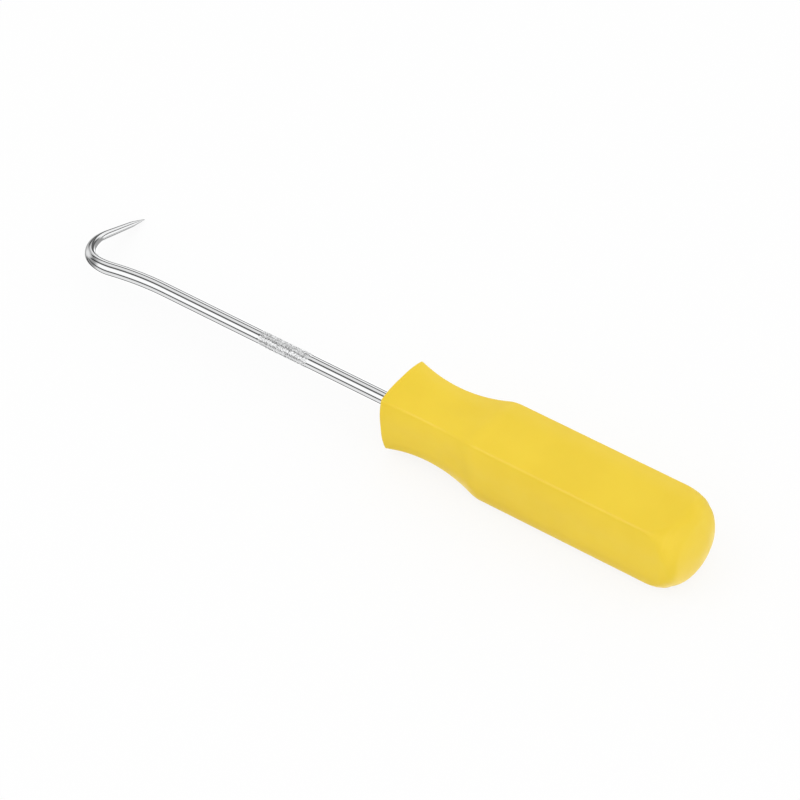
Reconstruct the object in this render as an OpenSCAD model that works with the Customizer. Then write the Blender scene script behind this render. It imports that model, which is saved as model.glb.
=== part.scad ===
// O-ring pick: a moulded grip on a bright wire shaft that ends in a square hook with a ground point.
// Lengths are in millimetres. The tool lies as it rests: X runs from the hook to the butt, Z is up,
// the table is z = 0, and the origin is on the table under the middle of the straight grip.

/* [Handle] */
// Length from the front face to the top of the butt
handle_length = 95; // [88:1:105]
// Width across the crowned sides of the grip
grip_width = 22.2; // [20.5:0.1:24]
// Width across the crowned sides at the front rim
rim_width = 20.4; // [19:0.1:21]
// Width across the crowned sides at the neck, the narrowest place
neck_width = 17.3; // [16:0.1:18]
// Distance from the front face to the neck
neck_at = 13.4; // [11:0.1:15]
// Radius where the waist runs out into the grip
shoulder_radius = 15; // [8:0.5:18]
// Width of the flat along the middle of each side of the grip, on which the tool lies
land_width = 4.4; // [2.4:0.2:5]
// Crown radius of each side, from that flat to the corners
crown_radius = 22.5; // [18:0.5:40]
// Radius of the four long corners
corner_radius = 1.4; // [1:0.1:2.6]
// Radius of the four corners at the front rim, where they are crisper
rim_corner_radius = 1; // [0.8:0.1:2]
// Length from the rim over which the corners soften to their even radius
crisp_length = 8; // [4:0.5:12]
// Radius toward which the four corners grow, so that the end of the butt is nearly round
butt_corner_radius = 13; // [6:0.5:18]
// Length over which the corners soften before the edge of the butt
soften_length = 5; // [3:1:20]
// Radius of the edge around the butt
butt_edge_radius = 4.5; // [3.5:0.1:6]
// Radius of the dome that closes the butt
butt_dome_radius = 25.5; // [20:0.5:40]

/* [Shaft] */
// Diameter of the wire
shaft_diameter = 4; // [3.6:0.1:4.4]
// Distance from the front face to the middle of the hook's leg
reach = 113.2; // [100:0.1:130]
// Angle by which the wire bows away before it turns into the hook
bow_angle = 18.5; // [8:0.5:20]
// Radius of that bow
bow_radius = 53; // [35:1:110]
// Radius of the tight part of the hook's bend, to the middle of the wire
bend_radius = 9.1; // [8:0.1:12]
// Angle off the shaft's direction at which the bend begins to ease
ease_angle = 47; // [30:1:60]
// Radius at which the bend eases into the leg, to the middle of the wire
ease_radius = 19.7; // [14:0.1:24]
// Distance from the shaft's axis to the tip of the hook
hook_length = 29.4; // [26:0.1:34]
// Distance of the wire's axis below the handle's axis
wire_drop = 0.45; // [0:0.05:1]
// Distance of the wire's axis beside the handle's axis, away from the hook
wire_aside = 0.55; // [0:0.05:1]
// Length of wire that goes into the bend at full thickness
taper_after = 2; // [0:0.5:10]
// Length of the steep ground point
point_length = 5.5; // [4:0.5:7]
// Diameter where the steep point begins
point_diameter = 1.8; // [1.5:0.05:2.3]
// Diameter of the blunted tip
tip_diameter = 0.3; // [0.2:0.05:0.5]

/* [Tang] */
// Length of wire inside the handle
tang_length = 70; // [50:1:78]
// Length of the flat that stops the wire turning in the handle
flat_length = 18; // [10:1:25]
// Depth of that flat
flat_depth = 0.7; // [0.4:0.1:1]
// Space between the wire and the bore on every side
bore_clearance = 0.02; // [0.01:0.01:0.1]

/* [Hidden] */
grip_half = grip_width / 2;
rim_half = rim_width / 2;
neck_half = neck_width / 2;
shaft_radius = shaft_diameter / 2;

// The waist is one arc through the rim and the neck; the shoulder arc meets it and the grip smoothly
waist_radius = (pow(rim_half - neck_half, 2) + pow(neck_at, 2)) / (2 * (rim_half - neck_half));
waist_centre = neck_half + waist_radius;
shoulder_centre = grip_half - shoulder_radius;
shoulder_run = sqrt(pow(waist_radius + shoulder_radius, 2) - pow(waist_centre - shoulder_centre, 2));
shoulder_at = neck_at + shoulder_run;
shoulder_turn = asin(shoulder_run / (waist_radius + shoulder_radius));
rim_edge = 0.4;
rim_turn = asin((neck_at - rim_edge) / waist_radius);
rim_drop = waist_centre - waist_radius * cos(rim_turn);

// The butt's edge arc meets the grip and the dome smoothly
butt_step = grip_half - butt_edge_radius;
butt_run = sqrt(pow(butt_dome_radius - butt_edge_radius, 2) - pow(butt_step, 2));
dome_centre = handle_length - butt_dome_radius;
butt_edge_at = dome_centre + butt_run;
dome_turn = atan2(butt_step, butt_run);
soften_from = butt_edge_at - soften_length;
grip_middle = (shoulder_at + butt_edge_at) / 2;

rim_steps = 3;
waist_steps = 16;
shoulder_steps = 6;
soften_steps = 5;
butt_steps = 9;
dome_steps = 4;
crown_steps = 5;
corner_steps = 8;

// Largest corner, as a share of the room beside the flat
corner_limit = 0.99;

// The leg dips until the edge of its tip is level with the underside of the grip
tip_radius = tip_diameter / 2;
tip_at = hook_length - tip_radius;
wire_height = grip_half - wire_drop;
hook_dip = asin(wire_height / norm([tip_at, tip_radius])) - atan2(tip_radius, tip_at);
leg_direction = [0, cos(hook_dip), -sin(hook_dip)];
hook_normal = [0, sin(hook_dip), cos(hook_dip)];
bend_growth = ease_radius - bend_radius;
bend_centre = [
    ease_radius - reach - bend_growth * sin(ease_angle),
    bend_radius * cos(bow_angle) - bow_radius * (1 - cos(bow_angle))
];
ease_centre = bend_centre + bend_growth * [sin(ease_angle), cos(ease_angle)];
bow_at = bend_centre[0] + (bend_radius + bow_radius) * sin(bow_angle);
leg_length = hook_length - ease_centre[1];
tight_length = arc_length(bend_radius, bow_angle + ease_angle);
bend_length = tight_length + arc_length(ease_radius, 90 - ease_angle);
taper_length = bend_length - taper_after + leg_length - point_length;

wire_sides = 32;
bow_steps = 4;
tight_steps = 16;
ease_steps = 10;
wire_overlap = 1;
wire_step = 0.01;
bore_end_gap = 0.5;

// Handle outline: [distance from the front face, half width]
rim_outline = [
    for (i = [0 : rim_steps - 1])
        let (a = 90 * i / rim_steps)
        [rim_edge * (1 - cos(a)), rim_drop - rim_edge * (1 - sin(a))]
];
waist_outline = [
    for (i = [0 : waist_steps])
        let (a = rim_turn - (rim_turn + shoulder_turn) * i / waist_steps)
        [neck_at - waist_radius * sin(a), waist_centre - waist_radius * cos(a)]
];
shoulder_outline = [
    for (i = [1 : shoulder_steps])
        let (a = shoulder_turn * (1 - i / shoulder_steps))
        [shoulder_at - shoulder_radius * sin(a), shoulder_centre + shoulder_radius * cos(a)]
];
grip_outline = [
    for (i = [0 : soften_steps - 1])
        [soften_from + (butt_edge_at - soften_from) * i / soften_steps, grip_half]
];
butt_outline = [
    for (i = [0 : butt_steps])
        let (a = 90 - (90 - dome_turn) * i / butt_steps)
        [butt_edge_at + butt_edge_radius * cos(a), butt_step + butt_edge_radius * sin(a)]
];
dome_outline = [
    for (i = [1 : dome_steps - 1])
        let (a = dome_turn * (1 - i / dome_steps))
        [dome_centre + butt_dome_radius * cos(a), butt_dome_radius * sin(a)]
];
handle_outline = concat(rim_outline, waist_outline, shoulder_outline, grip_outline, butt_outline, dome_outline);

// Share that rises smoothly from 0 to 1 between two places
function eased(x, from, to) =
    let (t = max(0, min(1, (x - from) / (to - from))))
    t * t * (3 - 2 * t);

// Corner radius along the handle: crisp at the rim, then even, then growing toward the butt
function corner_at(x) =
    rim_corner_radius
    + (corner_radius - rim_corner_radius) * eased(x, 0, crisp_length)
    + (butt_corner_radius - corner_radius) * eased(x, soften_from, handle_length);

// Width of the flat along the handle: even, then closing toward the top of the butt
function land_at(x) = land_width * (1 - eased(x, butt_edge_at, handle_length));

// Rounded square with sides crowned on both sides of a flat, as [y, z] points.
// The corner's centre is at [q, q], where its arc meets both crowns smoothly.
function section(half, land, crown, corner) =
    let (
        k = crown - half,
        m = k - land / 2,
        rest = pow(crown - corner, 2) - k * k - land * land / 4,
        q = (sqrt(m * m + 2 * rest) - m) / 2,
        turn = atan2(q - land / 2, q + k),
        falling = [
            for (i = [0 : crown_steps])
                let (a = turn * (1 - i / crown_steps))
                [land / 2 + crown * sin(a), crown * cos(a) - k]
        ],
        rising = [for (i = [crown_steps : -1 : 1]) [-falling[i][0], falling[i][1]]],
        bend = [
            for (i = [0 : corner_steps - 1])
                let (a = -turn - (90 - 2 * turn) * i / corner_steps)
                [corner * sin(a) - q, corner * cos(a) + q]
        ]
    )
    [for (s = [0 : 3]) for (p = concat(falling, rising, bend)) turned(p, 90 * s)];

function turned(p, a) = [p[0] * cos(a) - p[1] * sin(a), p[0] * sin(a) + p[1] * cos(a)];

// Section at one place of the outline, its flat and crown shrinking with the width
function handle_ring(place) =
    let (
        share = place[1] / grip_half,
        land = land_at(place[0]) * share,
        corner = min(corner_at(place[0]), corner_limit * (place[1] - land / 2))
    )
    [for (p = section(place[1], land, crown_radius * share, corner)) [place[0], p[0], p[1]]];

// Triangles that join rings of n points, one after another
function skin(rings, n) = [
    for (i = [0 : rings - 2])
        for (j = [0 : n - 1])
            let (a = i * n + j, b = i * n + (j + 1) % n)
            for (face = [[a, a + n, b], [b, a + n, b + n]]) face
];

// Flat cap on the first ring, and a fan from the last ring to one closing point
function first_cap(n) = [[for (j = [0 : n - 1]) j]];
function last_fan(rings, n) =
    [for (j = [0 : n - 1]) [(rings - 1) * n + j, rings * n, (rings - 1) * n + (j + 1) % n]];

module skinned(ring_list, closing_point) {
    n = len(ring_list[0]);
    rings = len(ring_list);
    polyhedron(
        points = concat([for (ring = ring_list) for (p = ring) p], [closing_point]),
        faces = concat(first_cap(n), skin(rings, n), last_fan(rings, n)),
        convexity = 4
    );
}

// Wire places: [centre in the hook's plane, heading angle, radius]
bow_places = [
    for (i = [0 : bow_steps])
        let (a = bow_angle * i / bow_steps)
        [[bow_at - bow_radius * sin(a), -bow_radius * (1 - cos(a))], a, shaft_radius - wire_step]
];
tight_places = [
    for (i = [1 : tight_steps])
        let (turn = (bow_angle + ease_angle) * i / tight_steps)
        bend_place(bend_centre, bend_radius, bow_angle - turn, arc_length(bend_radius, turn))
];
ease_places = [
    for (i = [1 : ease_steps])
        let (turn = (90 - ease_angle) * i / ease_steps)
        bend_place(ease_centre, ease_radius, -ease_angle - turn, tight_length + arc_length(ease_radius, turn))
];
point_places = [
    [[-reach, hook_length - point_length], -90, point_diameter / 2],
    [[-reach, tip_at], -90, tip_radius]
];
wire_places = concat(
    [[[bow_at + wire_overlap, 0], 0, shaft_radius - wire_step]],
    bow_places, tight_places, ease_places, point_places
);

function arc_length(radius, angle) = radius * angle * PI / 180;

// Place on an arc of the bend, at a heading and after a run from the start of the bend
function bend_place(centre, radius, heading, run) =
    [centre + radius * [sin(heading), -cos(heading)], heading, tapered(run)];

// Wire radius after a run from the start of the bend
function tapered(run) =
    let (full = shaft_radius - wire_step)
    full - (full - point_diameter / 2) * max(0, run - taper_after) / taper_length;

// Point of the hook's plane in space
function from_plane(p) = [p[0], 0, 0] + p[1] * leg_direction;

function wire_ring(place) = [
    for (j = [0 : wire_sides - 1])
        let (t = 360 * j / wire_sides)
        from_plane(place[0] + place[2] * cos(t) * [sin(place[1]), -cos(place[1])])
            + place[2] * sin(t) * hook_normal
];

// Straight wire from the bow to the end of the tang, grown by a clearance on every side
module straight_wire(from, clearance, end_gap) {
    flat_height = shaft_radius - flat_depth + clearance;
    flat_from = tang_length - flat_length + clearance;
    wide = shaft_diameter + 2;
    difference() {
        translate([from, 0, 0])
            rotate([0, 90, 0])
                cylinder(r = shaft_radius + clearance, h = tang_length + end_gap - from, $fn = 96);
        translate([flat_from, -wide / 2, flat_height])
            cube([flat_length + end_gap + 1, wide, wide]);
    }
}

// From the wire's axis to its place beside the handle's axis
module on_wire_axis() {
    translate([0, -wire_aside, -wire_drop])
        children();
}

module handle_solid() {
    difference() {
        skinned([for (place = handle_outline) handle_ring(place)], [handle_length, 0, 0]);
        on_wire_axis()
            straight_wire(-1, bore_clearance, bore_end_gap);
    }
}

module hook_shaft_solid() {
    on_wire_axis() {
        straight_wire(bow_at, 0, 0);
        skinned([for (place = wire_places) wire_ring(place)], from_plane([-reach, hook_length]));
    }
}

// Tool lying on the table
module lying() {
    translate([-grip_middle, 0, grip_half])
        children();
}

module handle() {
    color([0.95, 0.76, 0.1])
        lying()
            handle_solid();
}

module hook_shaft() {
    color([0.8, 0.81, 0.83])
        lying()
            hook_shaft_solid();
}

handle();
hook_shaft();
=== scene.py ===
import math

import bmesh
import bpy
from mathutils import Matrix, Vector, noise


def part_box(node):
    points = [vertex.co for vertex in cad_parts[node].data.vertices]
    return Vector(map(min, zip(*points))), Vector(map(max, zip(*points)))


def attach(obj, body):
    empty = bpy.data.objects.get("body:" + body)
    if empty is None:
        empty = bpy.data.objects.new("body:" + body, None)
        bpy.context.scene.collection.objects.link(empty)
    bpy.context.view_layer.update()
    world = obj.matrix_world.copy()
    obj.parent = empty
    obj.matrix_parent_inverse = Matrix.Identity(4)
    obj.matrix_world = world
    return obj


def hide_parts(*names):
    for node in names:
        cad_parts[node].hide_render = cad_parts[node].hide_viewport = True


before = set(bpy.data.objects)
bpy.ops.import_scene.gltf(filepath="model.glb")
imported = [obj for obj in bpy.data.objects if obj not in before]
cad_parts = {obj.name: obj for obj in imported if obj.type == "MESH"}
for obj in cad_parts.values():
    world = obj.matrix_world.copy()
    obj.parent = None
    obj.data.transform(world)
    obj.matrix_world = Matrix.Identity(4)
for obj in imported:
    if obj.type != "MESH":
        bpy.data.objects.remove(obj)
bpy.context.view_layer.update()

MM = 0.001

# Handle, as in the part's source; its length, front and height come from the frame
handle_low, handle_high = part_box("handle")
handle_front = handle_low.x
handle_length = handle_high.x - handle_low.x
grip_half = (handle_high.z + handle_low.z) / 2
rim_half = 20.4 * MM / 2
neck_half = 17.3 * MM / 2
neck_at = 13.4 * MM
shoulder_radius = 15 * MM
land_width = 4.4 * MM
crown_radius = 22.5 * MM
corner_radius = 1.4 * MM
rim_corner_radius = 1 * MM
crisp_length = 8 * MM
butt_corner_radius = 13 * MM
soften_length = 5 * MM
butt_edge_radius = 4.5 * MM
butt_dome_radius = 25.5 * MM
rim_edge = 0.4 * MM
corner_limit = 0.99

# Wire
shaft_radius = 4 * MM / 2
reach = 113.2 * MM
bow_angle = math.radians(18.5)
bow_radius = 53 * MM
bend_radius = 9.1 * MM
ease_angle = math.radians(47)
ease_radius = 19.7 * MM
hook_length = 29.4 * MM
wire_drop = 0.45 * MM
wire_aside = 0.55 * MM
taper_after = 2 * MM
point_length = 5.5 * MM
point_radius = 1.8 * MM / 2
tip_radius = 0.3 * MM / 2
tang_length = 70 * MM
flat_length = 18 * MM
flat_depth = 0.7 * MM
bore_clearance = 0.02 * MM
bore_end_gap = 0.5 * MM

# Roughened band on the wire, measured from the handle's front face
band_near = 30.1 * MM
band_far = 48.2 * MM
band_fade = 1.6 * MM
grain_size = 0.42 * MM
grain_height = 0.075 * MM
fine_grain_ratio = 0.55
fine_grain_share = 0.6

# Mesh steps
crown_steps = 10
corner_steps = 14
rim_steps = 6
waist_steps = 60
shoulder_steps = 20
grip_steps = 36
butt_steps = 26
dome_steps = 12
wire_sides = 96
wire_step = 2 * MM
band_step = 0.13 * MM
tight_steps = 48
ease_steps = 32
bow_steps = 12
leg_steps = 14
point_steps = 8

# Edges that turn by more than this are shaded as sharp
grip_sharp_from = math.radians(35)
wire_sharp_from = math.radians(50)

# Derived shape of the handle's outline
waist_rise = rim_half - neck_half
waist_radius = (waist_rise ** 2 + neck_at ** 2) / (2 * waist_rise)
waist_centre = neck_half + waist_radius
shoulder_centre = grip_half - shoulder_radius
arc_reach = waist_radius + shoulder_radius
shoulder_run = math.sqrt(arc_reach ** 2 - (waist_centre - shoulder_centre) ** 2)
shoulder_at = neck_at + shoulder_run
shoulder_turn = math.asin(shoulder_run / arc_reach)
rim_turn = math.asin((neck_at - rim_edge) / waist_radius)
rim_drop = waist_centre - waist_radius * math.cos(rim_turn)
butt_step = grip_half - butt_edge_radius
butt_run = math.sqrt((butt_dome_radius - butt_edge_radius) ** 2 - butt_step ** 2)
dome_centre = handle_length - butt_dome_radius
butt_edge_at = dome_centre + butt_run
dome_turn = math.atan2(butt_step, butt_run)
soften_from = butt_edge_at - soften_length

# Derived shape of the hook
tip_at = hook_length - tip_radius
wire_height = grip_half - wire_drop
hook_dip = math.asin(wire_height / math.hypot(tip_at, tip_radius)) - math.atan2(tip_radius, tip_at)
wire_axis = Vector((0, -wire_aside, -wire_drop))
leg_direction = Vector((0, math.cos(hook_dip), -math.sin(hook_dip)))
hook_normal = Vector((0, math.sin(hook_dip), math.cos(hook_dip)))
bend_growth = ease_radius - bend_radius
bend_centre = Vector((
    ease_radius - reach - bend_growth * math.sin(ease_angle),
    bend_radius * math.cos(bow_angle) - bow_radius * (1 - math.cos(bow_angle)),
))
ease_centre = bend_centre + bend_growth * Vector((math.sin(ease_angle), math.cos(ease_angle)))
bow_at = bend_centre.x + (bend_radius + bow_radius) * math.sin(bow_angle)
leg_length = hook_length - ease_centre.y
tight_sweep = bow_angle + ease_angle
ease_sweep = math.pi / 2 - ease_angle
tight_length = bend_radius * tight_sweep
bend_length = tight_length + ease_radius * ease_sweep
taper_length = bend_length - taper_after + leg_length - point_length


def spread(first, last, steps):
    """Evenly spaced values from first to last, both included."""
    return [first + (last - first) * i / steps for i in range(steps + 1)]


def in_place(point):
    """Point of the tool's own frame, with the front face at x = 0, laid on the table."""
    return point + Vector((handle_front, 0, grip_half))


def handle_outline():
    """(distance from the front face, half width) from the rim to the dome."""
    places = []
    for a in spread(0, math.pi / 2, rim_steps)[:-1]:
        places.append((rim_edge * (1 - math.cos(a)), rim_drop - rim_edge * (1 - math.sin(a))))
    for a in spread(rim_turn, -shoulder_turn, waist_steps):
        half = waist_centre - waist_radius * math.cos(a)
        places.append((neck_at - waist_radius * math.sin(a), half))
    for a in spread(shoulder_turn, 0, shoulder_steps)[1:]:
        half = shoulder_centre + shoulder_radius * math.cos(a)
        places.append((shoulder_at - shoulder_radius * math.sin(a), half))
    for x in spread(shoulder_at, butt_edge_at, grip_steps)[1:-1]:
        places.append((x, grip_half))
    for a in spread(math.pi / 2, dome_turn, butt_steps):
        half = butt_step + butt_edge_radius * math.sin(a)
        places.append((butt_edge_at + butt_edge_radius * math.cos(a), half))
    for a in spread(dome_turn, 0, dome_steps)[1:-1]:
        places.append((dome_centre + butt_dome_radius * math.cos(a), butt_dome_radius * math.sin(a)))
    return places


def eased(x, start, end):
    """Share that rises smoothly from 0 to 1 between two places."""
    t = max(0.0, min(1.0, (x - start) / (end - start)))
    return t * t * (3 - 2 * t)


def corner_at(x):
    """Corner radius along the handle: crisp at the rim, then even, then growing toward the butt."""
    front = rim_corner_radius + (corner_radius - rim_corner_radius) * eased(x, 0, crisp_length)
    return front + (butt_corner_radius - corner_radius) * eased(x, soften_from, handle_length)


def land_at(x):
    """Width of the flat along the handle: even, then closing toward the top of the butt."""
    return land_width * (1 - eased(x, butt_edge_at, handle_length))


def section(half, land, crown, corner):
    """Rounded square whose sides are crowned on both sides of a flat, as (y, z) pairs."""
    sink = crown - half
    # The centre of a corner's arc lies equally far out on both axes, where the arc touches its crowns
    linear = sink - land / 2
    constant = (crown - corner) ** 2 - sink * sink - land * land / 4
    out = (math.sqrt(linear * linear + 2 * constant) - linear) / 2
    turn = math.atan2(out - land / 2, out + sink)
    falling = [
        (land / 2 + crown * math.sin(a), crown * math.cos(a) - sink)
        for a in spread(turn, 0, crown_steps)
    ]
    rising = [(-y, z) for y, z in reversed(falling[1:])]
    bend = [
        (corner * math.sin(a) - out, corner * math.cos(a) + out)
        for a in spread(-turn, turn - math.pi / 2, corner_steps)[:-1]
    ]
    points = []
    for quarter in range(4):
        c, s = math.cos(quarter * math.pi / 2), math.sin(quarter * math.pi / 2)
        points += [(y * c - z * s, y * s + z * c) for y, z in falling + rising + bend]
    return points


def handle_ring(x, half):
    """Section of the handle at a distance from the front face, its crowns in step with its width."""
    share = half / grip_half
    land = land_at(x) * share
    corner = min(corner_at(x), corner_limit * (half - land / 2))
    return [Vector((x, y, z)) for y, z in section(half, land, crown_radius * share, corner)]


def clipped(ring, height):
    """Ring with everything above a height pressed down to it."""
    return [Vector((p.x, p.y, min(p.z, height))) for p in ring]


def bore_rings(angles):
    """Rings of the bore from its blind end to its mouth, one point per given angle."""
    radius = shaft_radius + bore_clearance
    end = tang_length + bore_end_gap
    flat_from = tang_length - flat_length
    flat_height = wire_axis.z + shaft_radius - flat_depth + bore_clearance

    def ring(x):
        return [wire_axis + Vector((x, radius * math.cos(a), radius * math.sin(a))) for a in angles]

    flat_part = [clipped(ring(x), flat_height) for x in (end, flat_from)]
    return flat_part + [ring(flat_from), ring(0)]


def closed_mesh(name, rings, first_point, last_point, sharp_from):
    """Mesh that joins rings of equal count and closes both ends at a point, smooth but for sharp edges."""
    bm = bmesh.new()
    rows = [[bm.verts.new(in_place(p)) for p in ring] for ring in rings]
    count = len(rows[0])
    first = bm.verts.new(in_place(first_point))
    last = bm.verts.new(in_place(last_point))
    for j in range(count):
        after = (j + 1) % count
        bm.faces.new((first, rows[0][after], rows[0][j]))
        for low, high in zip(rows, rows[1:]):
            bm.faces.new((low[j], low[after], high[after], high[j]))
        bm.faces.new((rows[-1][j], rows[-1][after], last))
    bmesh.ops.recalc_face_normals(bm, faces=bm.faces)
    for face in bm.faces:
        face.smooth = True
    for edge in bm.edges:
        edge.smooth = edge.calc_face_angle(0) < sharp_from
    mesh = bpy.data.meshes.new(name)
    bm.to_mesh(mesh)
    bm.free()
    piece = bpy.data.objects.new(name, mesh)
    bpy.context.scene.collection.objects.link(piece)
    return piece


def build_handle():
    """Grip with its bore, one closed mesh."""
    body = [handle_ring(x, half) for x, half in handle_outline()]
    angles = [math.atan2(p.z, p.y) for p in body[0]]
    bore = bore_rings(angles)
    blind_end = wire_axis + Vector((tang_length + bore_end_gap, 0, 0))
    butt_top = Vector((handle_length, 0, 0))
    return closed_mesh("grip", bore + body, blind_end, butt_top, grip_sharp_from)


def wire_ring(centre, heading, radius):
    """Circle across the wire; centre and heading are in the hook's plane."""
    across = Vector((math.sin(heading), 0, 0)) - math.cos(heading) * leg_direction
    middle = wire_axis + Vector((centre.x, 0, 0)) + centre.y * leg_direction
    return [
        middle + radius * (math.cos(t) * across + math.sin(t) * hook_normal)
        for t in (2 * math.pi * j / wire_sides for j in range(wire_sides))
    ]


def tapered(run):
    """Wire radius after a run from the start of the bend."""
    return shaft_radius - (shaft_radius - point_radius) * max(0, run - taper_after) / taper_length


def bend_ring(centre, radius, heading, run):
    """Circle across the wire on an arc of the bend, after a run from the start of the bend."""
    place = centre + radius * Vector((math.sin(heading), -math.cos(heading)))
    return wire_ring(place, heading, tapered(run))


def band_share(depth):
    """How far the band's roughness shows at a distance in front of the handle."""
    return eased(min(depth - band_near, band_far - depth), 0, band_fade)


def roughened(ring):
    """Ring of the straight wire with the band's grain pressed into it."""
    rough = []
    for p in ring:
        coarse = noise.noise(p / grain_size)
        fine = noise.noise(p / (fine_grain_ratio * grain_size))
        lift = coarse + fine_grain_share * fine
        out = Vector((0, p.y - wire_axis.y, p.z - wire_axis.z)).normalized()
        rough.append(p + out * grain_height * lift * band_share(-p.x))
    return rough


def straight_places():
    """Distances along the straight wire from the front face to the bow, close together in the band."""
    places = spread(0, -band_near, round(band_near / wire_step))[:-1]
    places += spread(-band_near, -band_far, round((band_far - band_near) / band_step))[:-1]
    return places + spread(-band_far, bow_at, round((-bow_at - band_far) / wire_step))[:-1]


def build_shaft():
    """Wire from the end of its tang to the tip of the hook, one closed mesh."""
    flat_from = tang_length - flat_length
    flat_height = wire_axis.z + shaft_radius - flat_depth
    rings = [
        clipped(wire_ring(Vector((tang_length, 0)), 0, shaft_radius), flat_height),
        clipped(wire_ring(Vector((flat_from, 0)), 0, shaft_radius), flat_height),
        wire_ring(Vector((flat_from, 0)), 0, shaft_radius),
    ]
    for x in straight_places():
        rings.append(roughened(wire_ring(Vector((x, 0)), 0, shaft_radius)))
    for a in spread(0, bow_angle, bow_steps):
        centre = Vector((bow_at - bow_radius * math.sin(a), -bow_radius * (1 - math.cos(a))))
        rings.append(wire_ring(centre, a, shaft_radius))
    for turned in spread(0, tight_sweep, tight_steps)[1:]:
        rings.append(bend_ring(bend_centre, bend_radius, bow_angle - turned, bend_radius * turned))
    for turned in spread(0, ease_sweep, ease_steps)[1:]:
        run = tight_length + ease_radius * turned
        rings.append(bend_ring(ease_centre, ease_radius, -ease_angle - turned, run))
    leg_end = hook_length - point_length
    for y in spread(ease_centre.y, leg_end, leg_steps)[1:]:
        run = bend_length + y - ease_centre.y
        rings.append(wire_ring(Vector((-reach, y)), -math.pi / 2, tapered(run)))
    for y in spread(leg_end, tip_at, point_steps)[1:]:
        radius = point_radius + (tip_radius - point_radius) * (y - leg_end) / (tip_at - leg_end)
        rings.append(wire_ring(Vector((-reach, y)), -math.pi / 2, radius))
    tip = wire_axis + Vector((-reach, 0, 0)) + hook_length * leg_direction
    tang_end = wire_axis + Vector((tang_length, 0, 0))
    return closed_mesh("wire", rings, tang_end, tip, wire_sharp_from)


# Looks; nearly all of a noise lies between the two levels
noise_low = 0.3
noise_high = 0.7
deep_yellow = (0.812, 0.581, 0.031)
pale_yellow = (0.844, 0.612, 0.036)
plating_tint = (0.658, 0.662, 0.665)
band_tint = (0.7, 0.704, 0.708)
floor_half = 4.0
floor_glow_share = 0.85


class Nodes:
    """Short way to add and join shader nodes."""

    def __init__(self, tree):
        self.tree = tree
        tree.nodes.clear()

    def add(self, kind, **settings):
        node = self.tree.nodes.new("ShaderNode" + kind)
        for name, value in settings.items():
            setattr(node, name, value)
        return node

    def join(self, output, socket):
        self.tree.links.new(output, socket)

    def math(self, operation, first, second):
        """Math node on two inputs, each a socket or a number."""
        node = self.add("Math", operation=operation)
        for socket, value in zip(node.inputs, (first, second)):
            if isinstance(value, (int, float)):
                socket.default_value = value
            else:
                self.join(value, socket)
        return node.outputs[0]

    def along(self, vector, direction):
        """How far a vector reaches along a direction."""
        node = self.add("VectorMath", operation="DOT_PRODUCT")
        self.join(vector, node.inputs[0])
        node.inputs[1].default_value = direction
        return node.outputs["Value"]

    def between(self, value, low, high, new_low, new_high):
        """Value carried smoothly from one range to another."""
        node = self.add("MapRange", interpolation_type="SMOOTHSTEP")
        self.join(value, node.inputs["Value"])
        node.inputs["From Min"].default_value = low
        node.inputs["From Max"].default_value = high
        node.inputs["To Min"].default_value = new_low
        node.inputs["To Max"].default_value = new_high
        return node.outputs["Result"]

    def from_noise(self, value, new_low, new_high):
        """Noise carried to a range; nearly all of it lies between two known levels."""
        return self.between(value, noise_low, noise_high, new_low, new_high)

    def noise(self, place, scale, detail, stretch=(1, 1, 1)):
        """Noise in the object's own coordinates, stretched along the axes."""
        mapping = self.add("Mapping")
        mapping.inputs["Scale"].default_value = stretch
        self.join(place, mapping.inputs["Vector"])
        node = self.add("TexNoise")
        node.inputs["Scale"].default_value = scale
        node.inputs["Detail"].default_value = detail
        self.join(mapping.outputs["Vector"], node.inputs["Vector"])
        return node.outputs["Fac"]

    def mixed(self, factor, first, second):
        """Colour between two colours."""
        node = self.add("Mix", data_type="RGBA")
        self.join(factor, node.inputs["Factor"])
        colours = [s for s in node.inputs if s.type == "RGBA"]
        colours[0].default_value = (*first, 1)
        colours[1].default_value = (*second, 1)
        return next(s for s in node.outputs if s.type == "RGBA")

    def blend(self, share, first, second):
        """Value between two values, each a socket or a number."""
        rest = self.math("SUBTRACT", 1.0, share)
        return self.math("ADD", self.math("MULTIPLY", rest, first), self.math("MULTIPLY", share, second))

    def bump(self, height, strength, distance, before=None):
        """Normal bent by a height, on top of another normal where one is given."""
        node = self.add("Bump")
        node.inputs["Strength"].default_value = strength
        node.inputs["Distance"].default_value = distance
        self.join(height, node.inputs["Height"])
        if before is not None:
            self.join(before, node.inputs["Normal"])
        return node.outputs["Normal"]


def new_material(name):
    """Empty material with its nodes, its shader and the place on the object."""
    material = bpy.data.materials.new(name)
    material.use_nodes = True
    nodes = Nodes(material.node_tree)
    shader = nodes.add("BsdfPrincipled")
    nodes.join(shader.outputs["BSDF"], nodes.add("OutputMaterial").inputs["Surface"])
    place = nodes.add("TexCoord").outputs["Object"]
    return material, nodes, shader, place


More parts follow.
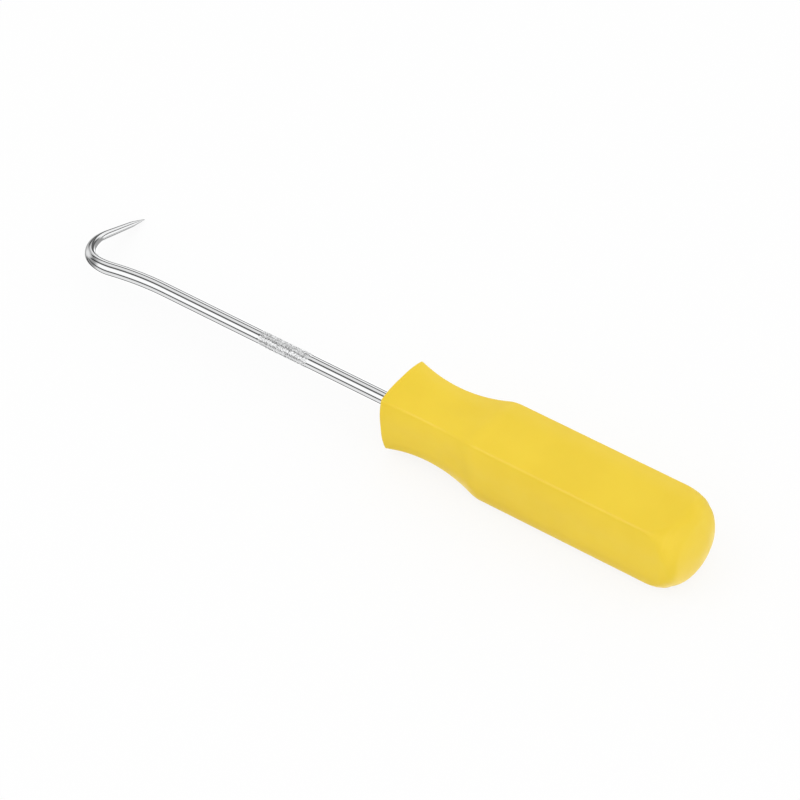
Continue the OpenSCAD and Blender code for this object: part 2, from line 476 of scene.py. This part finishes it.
def plastic():
    """Satin yellow moulding: cloudy pigment, fine mould grain, slightly uneven sheen."""
    material, nodes, shader, place = new_material("yellow_plastic")
    cloud = nodes.noise(place, scale=55, detail=3)
    colour = nodes.mixed(nodes.from_noise(cloud, 0, 1), deep_yellow, pale_yellow)
    nodes.join(colour, shader.inputs["Base Color"])
    sheen = nodes.noise(place, scale=260, detail=4)
    nodes.join(nodes.from_noise(sheen, 0.36, 0.44), shader.inputs["Roughness"])
    grain = nodes.noise(place, scale=2600, detail=2)
    waves = nodes.noise(place, scale=120, detail=2)
    wavy = nodes.bump(waves, strength=0.25, distance=0.03 * MM)
    grained = nodes.bump(grain, strength=0.3, distance=0.012 * MM, before=wavy)
    nodes.join(grained, shader.inputs["Normal"])
    shader.inputs["IOR"].default_value = 1.49
    shader.inputs["Specular IOR Level"].default_value = 0.3
    shader.inputs["Subsurface Weight"].default_value = 0.08
    shader.inputs["Subsurface Radius"].default_value = (1.0, 0.6, 0.1)
    shader.inputs["Subsurface Scale"].default_value = 1.5 * MM
    return material


def bright_wire():
    """Bright plating over drawn steel: fine lines along the wire, and a frosted band."""
    material, nodes, shader, place = new_material("bright_plating")
    axes = nodes.add("SeparateXYZ")
    nodes.join(place, axes.inputs["Vector"])
    near = handle_front - band_near
    far = handle_front - band_far
    enter = nodes.between(axes.outputs["X"], near, near - band_fade, 0, 1)
    leave = nodes.between(axes.outputs["X"], far, far + band_fade, 0, 1)
    band = nodes.math("MULTIPLY", enter, leave)
    speckle = nodes.noise(place, scale=3800, detail=3)
    lines = nodes.noise(place, scale=1400, detail=3, stretch=(0.02, 1, 1))
    frost = nodes.math("MULTIPLY", band, nodes.from_noise(speckle, 0.14, 0.34))
    shine = nodes.from_noise(lines, 0.045, 0.085)
    nodes.join(nodes.math("ADD", shine, frost), shader.inputs["Roughness"])
    tint = nodes.mixed(band, plating_tint, band_tint)
    nodes.join(tint, shader.inputs["Base Color"])
    drawn = nodes.bump(lines, strength=0.12, distance=0.006 * MM)
    pits = nodes.math("MULTIPLY", band, speckle)
    pitted = nodes.bump(pits, strength=0.5, distance=0.02 * MM, before=drawn)
    nodes.join(pitted, shader.inputs["Normal"])
    shader.inputs["Metallic"].default_value = 1.0
    return material


def pale_floor():
    """White table: a plain matt surface to the light, near white with a faint shadow to the camera."""
    material = bpy.data.materials.new("pale_floor")
    material.use_nodes = True
    nodes = Nodes(material.node_tree)
    matt = nodes.add("BsdfDiffuse")
    matt.inputs["Color"].default_value = (0.9, 0.9, 0.9, 1)
    glow = nodes.add("Emission")
    glow.inputs["Color"].default_value = (1, 1, 1, 1)
    glow.inputs["Strength"].default_value = 1.0
    path = nodes.add("LightPath")
    seen = nodes.math("MAXIMUM", path.outputs["Is Camera Ray"], path.outputs["Is Transmission Ray"])
    blend = nodes.add("MixShader")
    nodes.join(nodes.math("MULTIPLY", seen, floor_glow_share), blend.inputs["Fac"])
    nodes.join(matt.outputs["BSDF"], blend.inputs[1])
    nodes.join(glow.outputs["Emission"], blend.inputs[2])
    nodes.join(blend.outputs["Shader"], nodes.add("OutputMaterial").inputs["Surface"])
    return material


# Studio seen in mirror-like surfaces: bright panels with dark gaps, as (from, to, brightness) in degrees.
# Around the wire, 0 is level behind the tool, 90 overhead, 180 level in front of it and 270 straight down.
wire_panels = (
    (5, 40, 1.0),
    (59, 96, 0.8),
    (120, 171, 1.05),
    (192, 242, 0.82),
    (267, 351, 1.1),
)
# Around the leg, 0 is level toward the butt, 90 upward and 180 level away from the butt.
leg_panels = (
    (-6, 46, 1.0),
    (69, 132, 0.9),
    (167, 299, 0.85),
    (320, 346, 0.72),
)
panel_edge = 3
gap_brightness = 0.1
# Toward the leg its own panels show, and past it, away from the butt, the wire's again.
leg_view_from = 0.68
leg_view_full = 0.74
leg_view_last = 0.82
leg_view_end = 0.86
away_from = 0.1
away_full = -0.1
# Straight along the leg it is dim.
down_leg_from = 0.92
down_leg_full = 0.97
down_leg_brightness = 0.33
# Beyond the bend the panels grow dim, and one pale lamp stands there.
dim_from = -0.53
dim_full = -0.82
dim_brightness = 0.32
pale_lamp_direction = Vector((-0.97, 0.21, 0.12))
pale_lamp_edge = 0.88
pale_lamp_middle = 0.995
pale_lamp_brightness = 0.78
panel_strength = 1.43
fill_strength = 1.0


def panels_around(nodes, across, upward, panels):
    """Brightness by the angle from one direction up to another."""
    angle = nodes.math("ARCTAN2", upward, across)
    turns = nodes.math("FRACT", nodes.math("ADD", nodes.math("DIVIDE", angle, 2 * math.pi), 1.0), 0.0)
    ramp = nodes.add("ValToRGB")
    nodes.join(turns, ramp.inputs["Fac"])
    places = []
    for start, end, brightness in panels:
        places.append(((start - panel_edge) % 360, gap_brightness))
        places.append(((start + panel_edge) % 360, brightness))
        places.append(((end - panel_edge) % 360, brightness))
        places.append(((end + panel_edge) % 360, gap_brightness))
    stops = ramp.color_ramp.elements
    stops.remove(stops[-1])
    for i, (degrees, level) in enumerate(sorted(places)):
        stop = stops[0] if i == 0 else stops.new(degrees / 360)
        stop.position = degrees / 360
        stop.color = (level, level, level, 1)
    return ramp.outputs["Color"]


def studio_brightness(nodes):
    """Brightness of the studio's panels in each direction."""
    direction = nodes.add("TexCoord").outputs["Generated"]
    axes = nodes.add("SeparateXYZ")
    nodes.join(direction, axes.inputs["Vector"])
    round_wire = panels_around(nodes, axes.outputs["Y"], axes.outputs["Z"], wire_panels)
    round_leg = panels_around(nodes, axes.outputs["X"], nodes.along(direction, hook_normal), leg_panels)
    dim = nodes.between(axes.outputs["X"], dim_full, dim_from, dim_brightness, 1)
    dimmed = nodes.math("MULTIPLY", round_wire, dim)
    toward_leg = nodes.along(direction, leg_direction)
    entered = nodes.between(toward_leg, leg_view_from, leg_view_full, 0, 1)
    beyond = nodes.between(toward_leg, leg_view_last, leg_view_end, 0, 1)
    away = nodes.between(axes.outputs["X"], away_from, away_full, 0, 1)
    before_end = nodes.math("SUBTRACT", 1.0, nodes.math("MULTIPLY", beyond, away))
    both = nodes.blend(nodes.math("MULTIPLY", entered, before_end), dimmed, round_leg)
    down_leg = nodes.between(toward_leg, down_leg_from, down_leg_full, 0, 1)
    with_dim_leg = nodes.blend(down_leg, both, down_leg_brightness)
    toward_lamp = nodes.along(direction, pale_lamp_direction)
    lamp_share = nodes.between(toward_lamp, pale_lamp_edge, pale_lamp_middle, 0, 1)
    return nodes.blend(lamp_share, with_dim_leg, pale_lamp_brightness)


def light_world():
    """Even white light all round; only mirror-like surfaces see the studio's panels."""
    world = bpy.data.worlds.new("studio")
    bpy.context.scene.world = world
    world.use_nodes = True
    nodes = Nodes(world.node_tree)
    panels = nodes.add("Background")
    nodes.join(studio_brightness(nodes), panels.inputs["Color"])
    panels.inputs["Strength"].default_value = panel_strength
    even = nodes.add("Background")
    even.inputs["Color"].default_value = (1, 1, 1, 1)
    even.inputs["Strength"].default_value = fill_strength
    path = nodes.add("LightPath")
    seen = nodes.add("Background")
    seen.inputs["Color"].default_value = (1, 1, 1, 1)
    mirrored = nodes.add("MixShader")
    nodes.join(path.outputs["Is Glossy Ray"], mirrored.inputs["Fac"])
    nodes.join(even.outputs["Background"], mirrored.inputs[1])
    nodes.join(panels.outputs["Background"], mirrored.inputs[2])
    whole = nodes.add("MixShader")
    nodes.join(path.outputs["Is Camera Ray"], whole.inputs["Fac"])
    nodes.join(mirrored.outputs["Shader"], whole.inputs[1])
    nodes.join(seen.outputs["Background"], whole.inputs[2])
    nodes.join(whole.outputs["Shader"], nodes.add("OutputWorld").inputs["Surface"])


def build_stage():
    """Floor under the tool; mirror-like surfaces see the studio through it."""
    mesh = bpy.data.meshes.new("floor")
    corners = [Vector((x, y, 0)) * floor_half for x, y in ((-1, -1), (1, -1), (1, 1), (-1, 1))]
    mesh.from_pydata(corners, [], [(0, 1, 2, 3)])
    floor = bpy.data.objects.new("floor", mesh)
    bpy.context.scene.collection.objects.link(floor)
    floor.data.materials.append(pale_floor())
    floor.visible_glossy = False


def add_lamp(name, place, size, watts):
    """Round lamp that faces the origin and isn't seen in reflections."""
    data = bpy.data.lights.new(name, "AREA")
    data.shape = "DISK"
    data.size = size
    data.energy = watts
    lamp = bpy.data.objects.new(name, data)
    lamp.location = place
    lamp.rotation_mode = "QUATERNION"
    lamp.rotation_quaternion = (-Vector(place)).to_track_quat("-Z", "Y")
    lamp.visible_glossy = False
    bpy.context.scene.collection.objects.link(lamp)
    return lamp


def add_sheen_lamp(name, place, size, watts, piece):
    """Lamp that shows only as a sheen on one piece."""
    lamp = add_lamp(name, place, size, watts)
    lamp.visible_glossy = True
    lamp.visible_diffuse = False
    lit = bpy.data.collections.new(name + "_lights")
    lit.objects.link(piece)
    lamp.light_linking.receiver_collection = lit


# Camera: a long lens looking down on the tool, turned a little about its own axis
camera_azimuth = math.radians(40.84)
camera_elevation = math.radians(44.33)
camera_roll = math.radians(4.9)
camera_distance = 1.1078
focal_pixels = 4200
picture_pixels = 800
aim_offset = (-0.83 * MM, 1.17 * MM)


def add_camera():
    """Camera whose middle looks just beside the centre of the handle's front face."""
    back = Vector((
        math.sin(camera_azimuth) * math.cos(camera_elevation),
        -math.cos(camera_azimuth) * math.cos(camera_elevation),
        math.sin(camera_elevation),
    ))
    level = Vector((math.cos(camera_azimuth), math.sin(camera_azimuth), 0))
    rise = back.cross(level)
    right = math.cos(camera_roll) * level - math.sin(camera_roll) * rise
    up = math.cos(camera_roll) * rise + math.sin(camera_roll) * level
    data = bpy.data.cameras.new("camera")
    data.sensor_width = 36
    data.lens = data.sensor_width * focal_pixels / picture_pixels
    data.clip_start = 0.05
    data.clip_end = 20
    camera = bpy.data.objects.new("camera", data)
    aim = in_place(Vector((0, 0, 0))) + aim_offset[0] * right + aim_offset[1] * up
    place = aim + camera_distance * back
    camera.matrix_world = Matrix((
        (right.x, up.x, back.x, place.x),
        (right.y, up.y, back.y, place.y),
        (right.z, up.z, back.z, place.z),
        (0, 0, 0, 1),
    ))
    bpy.context.scene.collection.objects.link(camera)
    bpy.context.scene.camera = camera


grip = build_handle()
grip.data.materials.append(plastic())
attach(grip, "root")
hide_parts("handle")

wire = build_shaft()
wire.data.materials.append(bright_wire())
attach(wire, "root")
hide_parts("hook_shaft")

build_stage()
light_world()
add_lamp("key", (-0.5, -0.6, 1.1), size=0.9, watts=1.2)
add_lamp("butt_fill", (0.95, 0.1, 0.4), size=0.7, watts=0.8)
add_sheen_lamp("edge_sheen", (-0.468, -0.699, 0.541), size=0.42, watts=2.0, piece=grip)
add_sheen_lamp("butt_sheen", (0.86, -0.41, 0.25), size=1.2, watts=2.6, piece=grip)
add_camera()
bpy.context.scene.view_settings.view_transform = "Standard"
